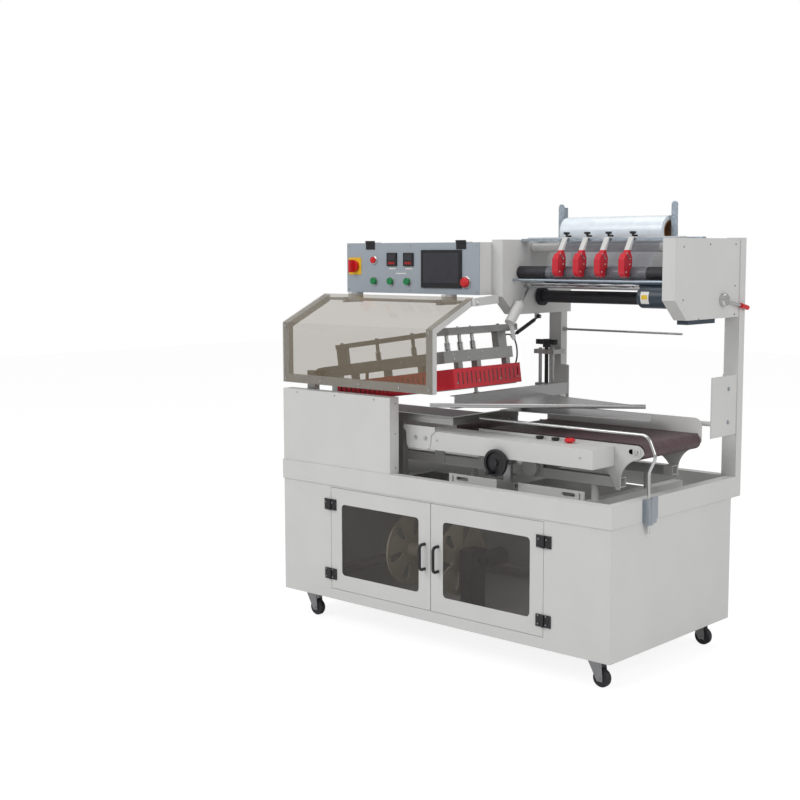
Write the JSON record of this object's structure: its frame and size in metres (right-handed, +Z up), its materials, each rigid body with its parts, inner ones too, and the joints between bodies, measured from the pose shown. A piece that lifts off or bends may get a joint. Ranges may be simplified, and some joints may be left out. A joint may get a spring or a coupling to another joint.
{
  "type": "l bar sealer",
  "caption": "Automatic L-bar sealer: cabinet on casters with belt infeed, raised L-shaped sealing jaw under a tinted guard, film former, film unit on a rear portal and a panel box.",
  "frame": {"origin": "on the floor under the middle of the whole machine", "axes": "+X along the front from the outfeed (left) to the infeed (right), +Y from the front to the back, +Z up"},
  "size_m": [1.644, 0.9064, 1.676],
  "materials": {
    "acrylic": "clear tinted",
    "aluminium": "brushed",
    "belt": "matte",
    "black_plastic": "satin",
    "black_rubber": "matte",
    "caster_steel": "zinc plated",
    "chrome": "polished",
    "cream_disc": "satin",
    "film": "gloss",
    "green_plastic": "gloss",
    "grey_panel": "satin",
    "motor_grey": "satin",
    "red_cover": "gloss",
    "red_plastic": "gloss",
    "steel": "brushed",
    "white_paint": "satin",
    "white_plastic": "satin",
    "white_sheet": "satin",
    "window": "clear tinted",
    "zinc": "galvanised"
  },
  "bodies": {
    "machine": {"main_frame": "white_paint", "cabinet": "white_sheet", "front_housing": "white_sheet", "door_hinges": "black_plastic", "jaw_base": "aluminium", "gearmotors": "motor_grey", "former_guides": "steel", "film_housing": "white_paint", "film_tie_bars": "zinc", "control_box": "white_paint"},
    "reel": {"waste_reel": "cream_disc"},
    "jaw": {"jaw_frame": "aluminium", "jaw_cover": "red_cover"},
    "cylinder_rod": {"push_rod": "chrome"},
    "conveyor": {"conveyor_frame": "white_paint", "conveyor_belts": "belt"},
    "belt_nose_roller": {"nose_roller": "black_rubber"},
    "height_wheel": {"handwheel": "black_plastic"},
    "guide_rod": {"bent_rod": "chrome"},
    "former": {"film_former": "steel"},
    "former_knob": {"former_handle": "black_plastic"},
    "perforating_roller": {"rubber_roller": "black_rubber"},
    "film_drive_roller": {"drive_roller": "black_rubber"},
    "film_turn_roller": {"steel_roller": "motor_grey"},
    "front_cradle_roller": {"cradle_roller_front": "white_plastic"},
    "back_cradle_roller": {"cradle_roller_back": "white_plastic"},
    "roll_of_film": {"film_roll": "film"},
    "dancer_bar": {"dancer": "chrome"},
    "dancer_damper": {"damper": "black_plastic"},
    "roller_lever": {"release_lever": "chrome"},
    "guard": {"guard_frame": "white_paint", "guard_panes": "acrylic"},
    "panel": {"control_panel": "grey_panel", "panel_instruments": "black_plastic"},
    "switch_knob": {"main_switch": "red_plastic"},
    "start_button": {"green_button": "green_plastic"},
    "left_heat_button": {"heat_switch_left": "green_plastic"},
    "right_heat_button": {"heat_switch_right": "green_plastic"},
    "panel_stop": {"panel_estop": "red_plastic"},
    "conveyor_stop": {"conveyor_estop": "red_plastic"},
    "jog_1": {"jog_button_1": "black_plastic"},
    "jog_2": {"jog_button_2": "black_plastic"},
    "door_body_left": {"door_left": "white_sheet", "door_window_left": "window", "door_fittings_left": "black_plastic"},
    "door_body_right": {"door_right": "white_sheet", "door_window_right": "window", "door_fittings_right": "black_plastic"},
    "swivel_front_left": {"caster_fork_front_left": "caster_steel"},
    "wheel_front_left": {"caster_wheel_front_left": "black_rubber"},
    "swivel_front_right": {"caster_fork_front_right": "caster_steel"},
    "wheel_front_right": {"caster_wheel_front_right": "black_rubber"},
    "swivel_rear_left": {"caster_fork_rear_left": "caster_steel"},
    "wheel_rear_left": {"caster_wheel_rear_left": "black_rubber"},
    "swivel_rear_right": {"caster_fork_rear_right": "caster_steel"},
    "wheel_rear_right": {"caster_wheel_rear_right": "black_rubber"},
    "perforator_arm_1": {"perforator_1": "red_plastic"},
    "perforator_arm_2": {"perforator_2": "red_plastic"},
    "perforator_arm_3": {"perforator_3": "red_plastic"},
    "perforator_arm_4": {"perforator_4": "red_plastic"}
  },
  "joints": [
    {"name": "left_door_hinge", "type": "hinge", "parent": "machine", "child": "door_body_left", "pos_m": [-0.54713, -0.42237, 0.25], "axis": [0, 0, -1], "range_deg": [0, 110]},
    {"name": "right_door_hinge", "type": "hinge", "parent": "machine", "child": "door_body_right", "pos_m": [0.50487, -0.42237, 0.25], "axis": [0, 0, 1], "range_deg": [0, 110]},
    {"name": "caster_swivel_front_left", "type": "hinge", "parent": "machine", "child": "swivel_front_left", "pos_m": [-0.72013, -0.34637, 0.098], "axis": [0, 0, 1], "continuous": true},
    {"name": "caster_roll_front_left", "type": "hinge", "parent": "swivel_front_left", "child": "wheel_front_left", "pos_m": [-0.69813, -0.34637, 0.033], "axis": [0, 1, 0], "continuous": true},
    {"name": "caster_swivel_front_right", "type": "hinge", "parent": "machine", "child": "swivel_front_right", "pos_m": [0.68387, -0.34637, 0.098], "axis": [0, 0, 1], "continuous": true},
    {"name": "caster_roll_front_right", "type": "hinge", "parent": "swivel_front_right", "child": "wheel_front_right", "pos_m": [0.70587, -0.34637, 0.033], "axis": [0, 1, 0], "continuous": true},
    {"name": "caster_swivel_rear_left", "type": "hinge", "parent": "machine", "child": "swivel_rear_left", "pos_m": [-0.72013, 0.33963, 0.098], "axis": [0, 0, 1], "continuous": true},
    {"name": "caster_roll_rear_left", "type": "hinge", "parent": "swivel_rear_left", "child": "wheel_rear_left", "pos_m": [-0.69813, 0.33963, 0.033], "axis": [0, 1, 0], "continuous": true},
    {"name": "caster_swivel_rear_right", "type": "hinge", "parent": "machine", "child": "swivel_rear_right", "pos_m": [0.68387, 0.33963, 0.098], "axis": [0, 0, 1], "continuous": true},
    {"name": "caster_roll_rear_right", "type": "hinge", "parent": "swivel_rear_right", "child": "wheel_rear_right", "pos_m": [0.70587, 0.33963, 0.033], "axis": [0, 1, 0], "continuous": true},
    {"name": "reel_spin", "type": "hinge", "parent": "machine", "child": "reel", "pos_m": [-0.34313, -0.16637, 0.302], "axis": [1, 0, 0], "continuous": true},
    {"name": "jaw_swing", "type": "hinge", "parent": "machine", "child": "jaw", "pos_m": [-0.71813, -0.31237, 0.99], "axis": [0, 1, 0], "range_deg": [0, 8.3]},
    {"name": "rod_stroke", "type": "slide", "parent": "machine", "child": "cylinder_rod", "axis": [0, 0, 1], "range_m": [-0.03235, 0]},
    {"name": "conveyor_lift", "type": "slide", "parent": "machine", "child": "conveyor", "axis": [0, 0, 1], "range_m": [0, 0.025]},
    {"name": "height_wheel_turn", "type": "hinge", "parent": "machine", "child": "height_wheel", "pos_m": [0.22387, -0.31637, 0.73], "axis": [0, 1, 0], "range_deg": [-5, 1805]},
    {"name": "nose_roller_spin", "type": "hinge", "parent": "conveyor", "child": "belt_nose_roller", "pos_m": [0.72787, -0.17637, 0.801], "axis": [0, 1, 0], "continuous": true},
    {"name": "jog_1_press", "type": "slide", "parent": "conveyor", "child": "jog_1", "axis": [0, 0, -1], "range_m": [0, 0.003], "stiffness_N_per_m": 400},
    {"name": "jog_2_press", "type": "slide", "parent": "conveyor", "child": "jog_2", "axis": [0, 0, -1], "range_m": [0, 0.003], "stiffness_N_per_m": 400},
    {"name": "conveyor_stop_press", "type": "slide", "parent": "conveyor", "child": "conveyor_stop", "axis": [0, 0, -1], "range_m": [0, 0.005], "stiffness_N_per_m": 400},
    {"name": "guide_rod_height", "type": "slide", "parent": "machine", "child": "guide_rod", "axis": [0, 0, 1], "range_m": [0, 0.018]},
    {"name": "former_height", "type": "slide", "parent": "machine", "child": "former", "axis": [0, 0, 1], "range_m": [-0.03, 0.03]},
    {"name": "former_knob_turn", "type": "hinge", "parent": "machine", "child": "former_knob", "pos_m": [-0.05313, 0.35163, 1.076], "axis": [0, 0, 1], "range_deg": [-1805, 1805]},
    {"name": "perforating_roller_spin", "type": "hinge", "parent": "machine", "child": "perforating_roller", "pos_m": [0.02387, 0.06663, 1.413], "axis": [1, 0, 0], "continuous": true},
    {"name": "film_drive_roller_spin", "type": "hinge", "parent": "machine", "child": "film_drive_roller", "pos_m": [0.02387, 0.19563, 1.318], "axis": [1, 0, 0], "continuous": true},
    {"name": "film_turn_roller_spin", "type": "hinge", "parent": "machine", "child": "film_turn_roller", "pos_m": [0.02387, 0.25163, 1.376], "axis": [1, 0, 0], "continuous": true},
    {"name": "front_cradle_roller_spin", "type": "hinge", "parent": "machine", "child": "front_cradle_roller", "pos_m": [0.02387, 0.14963, 1.508], "axis": [1, 0, 0], "continuous": true},
    {"name": "back_cradle_roller_spin", "type": "hinge", "parent": "machine", "child": "back_cradle_roller", "pos_m": [0.02387, 0.24363, 1.508], "axis": [1, 0, 0], "continuous": true},
    {"name": "film_roll_spin", "type": "hinge", "parent": "machine", "child": "roll_of_film", "pos_m": [0.15887, 0.19663, 1.56683], "axis": [1, 0, 0], "continuous": true},
    {"name": "dancer_swing", "type": "hinge", "parent": "machine", "child": "dancer_bar", "pos_m": [0.02387, 0.09863, 1.36], "axis": [1, 0, 0], "range_deg": [-4, 10]},
    {"name": "damper_swing", "type": "hinge", "parent": "machine", "child": "dancer_damper", "pos_m": [0.03187, 0.18263, 1.238], "axis": [1, 0, 0], "range_deg": [-10, 10]},
    {"name": "perforator_tilt_1", "type": "hinge", "parent": "machine", "child": "perforator_arm_1", "pos_m": [0.23708, 0.08863, 1.55], "axis": [-1, 0, 0], "range_deg": [0, 35]},
    {"name": "perforator_tilt_2", "type": "hinge", "parent": "machine", "child": "perforator_arm_2", "pos_m": [0.33098, 0.08863, 1.55], "axis": [-1, 0, 0], "range_deg": [0, 35]},
    {"name": "perforator_tilt_3", "type": "hinge", "parent": "machine", "child": "perforator_arm_3", "pos_m": [0.42559, 0.08863, 1.55], "axis": [-1, 0, 0], "range_deg": [0, 35]},
    {"name": "perforator_tilt_4", "type": "hinge", "parent": "machine", "child": "perforator_arm_4", "pos_m": [0.53078, 0.08863, 1.55], "axis": [-1, 0, 0], "range_deg": [0, 35]},
    {"name": "lever_turn", "type": "hinge", "parent": "machine", "child": "roller_lever", "pos_m": [0.78187, 0.28763, 1.317], "axis": [1, 0, 0], "range_deg": [-20, 60]},
    {"name": "guard_lift", "type": "hinge", "parent": "machine", "child": "guard", "pos_m": [-0.81813, -0.17637, 1.302], "axis": [-1, 0, 0], "range_deg": [0, 55]},
    {"name": "panel_drop", "type": "hinge", "parent": "machine", "child": "panel", "pos_m": [-0.73813, -0.12437, 1.535], "axis": [-1, 0, 0], "range_deg": [0, 80]},
    {"name": "main_switch_turn", "type": "hinge", "parent": "panel", "child": "switch_knob", "pos_m": [-0.69113, -0.11637, 1.436], "axis": [0, 1, 0], "range_deg": [0, 90]},
    {"name": "green_button_press", "type": "slide", "parent": "panel", "child": "start_button", "axis": [0, 1, 0], "range_m": [0, 0.003], "stiffness_N_per_m": 400},
    {"name": "heat_switch_left_press", "type": "slide", "parent": "panel", "child": "left_heat_button", "axis": [0, 1, 0], "range_m": [0, 0.003], "stiffness_N_per_m": 400},
    {"name": "heat_switch_right_press", "type": "slide", "parent": "panel", "child": "right_heat_button", "axis": [0, 1, 0], "range_m": [0, 0.003], "stiffness_N_per_m": 400},
    {"name": "panel_stop_press", "type": "slide", "parent": "panel", "child": "panel_stop", "axis": [0, 1, 0], "range_m": [0, 0.005], "stiffness_N_per_m": 400}
  ],
  "couplings": [
    {"joint": "rod_stroke", "follows": "jaw_swing", "m_per_rad": -0.22122},
    {"joint": "height_wheel_turn", "follows": "conveyor_lift", "rad_per_m": 1256.6},
    {"joint": "former_knob_turn", "follows": "former_height", "rad_per_m": 1047.2},
    {"joint": "damper_swing", "follows": "dancer_swing", "ratio": 0.45}
  ]
}
